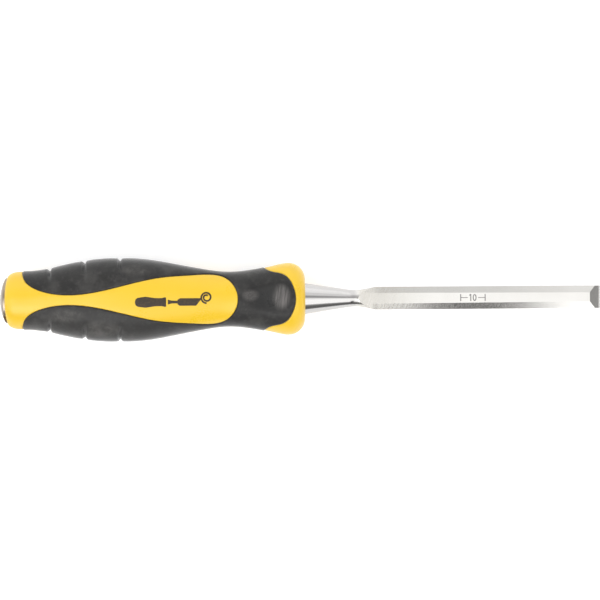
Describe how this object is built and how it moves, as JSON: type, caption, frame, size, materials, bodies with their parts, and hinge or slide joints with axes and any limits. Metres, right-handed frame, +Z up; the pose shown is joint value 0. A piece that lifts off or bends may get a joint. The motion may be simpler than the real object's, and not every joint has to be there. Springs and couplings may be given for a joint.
{
  "type": "bench chisel",
  "caption": "Bevel-edge bench chisel with a 10 mm blade, a conical neck and a two-material oval handle with a domed steel strike cap.",
  "frame": {"origin": "centre of the bounding box, on the bench that the handle lies on", "axes": "+X along the tool towards the cutting edge, +Z up, out of the bevelled face, +Y across the blade"},
  "size_m": [0.2638, 0.0368, 0.0319],
  "materials": {
    "ground_steel": "ground and finely brushed tool steel",
    "hard_plastic": "smooth moulded yellow plastic",
    "soft_rubber": "fine-textured dark grey soft moulding",
    "cap_steel": "polished steel, domed"
  },
  "bodies": {
    "root": {"blade": "ground_steel", "handle_core": "hard_plastic", "soft_grip": "soft_rubber", "strike_cap": "cap_steel"}
  },
  "joints": []
}
